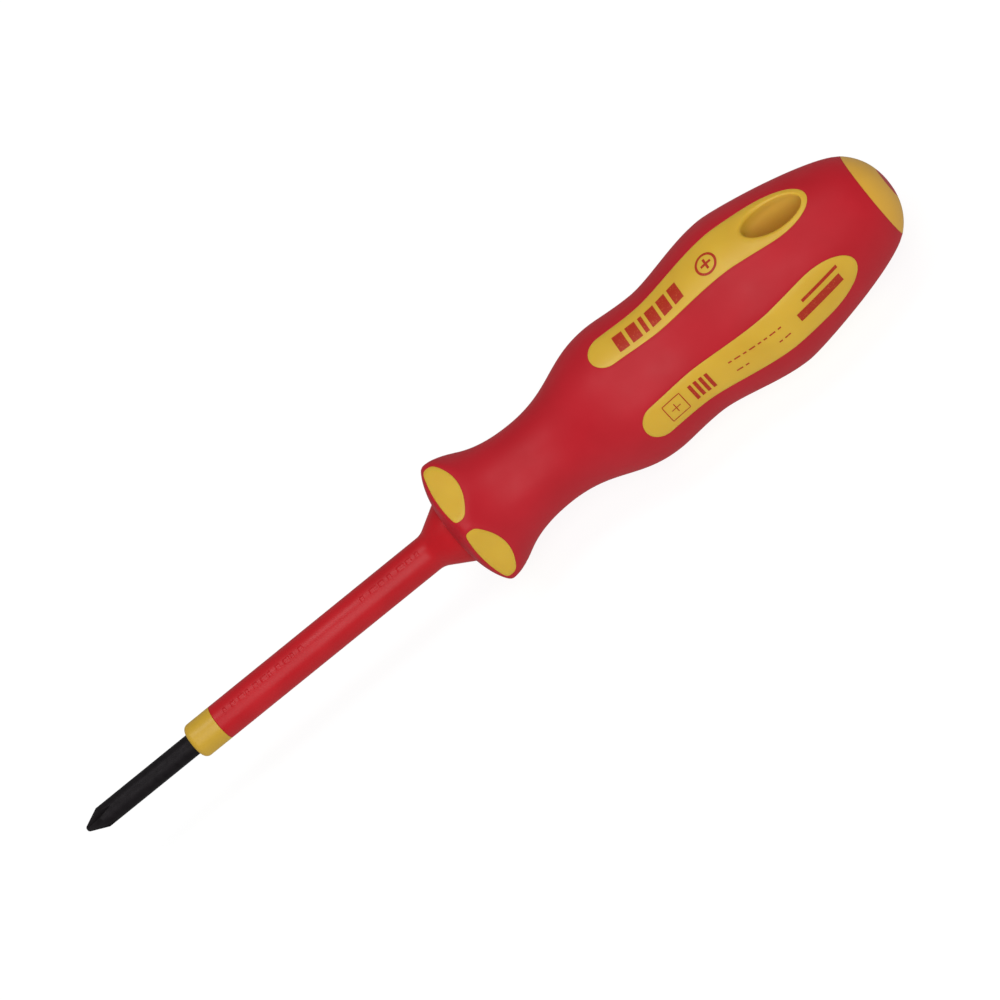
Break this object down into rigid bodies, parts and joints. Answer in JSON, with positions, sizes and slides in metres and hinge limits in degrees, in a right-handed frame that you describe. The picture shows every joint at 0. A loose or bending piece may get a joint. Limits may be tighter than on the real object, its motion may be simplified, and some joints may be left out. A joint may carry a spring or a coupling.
{
  "type": "insulated screwdriver",
  "caption": "Insulated cross-slot screwdriver: dark steel blade, layered sheath with a warning collar, soft grip with flush strips, faceted hilt and hanging hole.",
  "frame": {"origin": "the end of the blade's tip, on the tool's axis", "axes": "+X along the tool from the tip to the end cap, +Z out of the hanging hole, so +Y completes a right-handed frame"},
  "size_m": [0.1319, 0.0224, 0.0224],
  "materials": {
    "blade": "black oxide steel, matt",
    "inner_sheath": "moulded, satin",
    "outer_sheath": "moulded, semi-gloss",
    "handle_core": "glass-filled, rough",
    "handle_body": "moulded, satin",
    "soft_grip": "soft-touch elastomer, matt",
    "end_cap": "moulded, satin",
    "cap_badge": "moulded, satin"
  },
  "bodies": {
    "root": {"blade": "blade", "inner_sheath": "inner_sheath", "outer_sheath": "outer_sheath", "handle_core": "handle_core", "handle_body": "handle_body", "soft_grip": "soft_grip", "end_cap": "end_cap", "cap_badge": "cap_badge"}
  },
  "joints": []
}
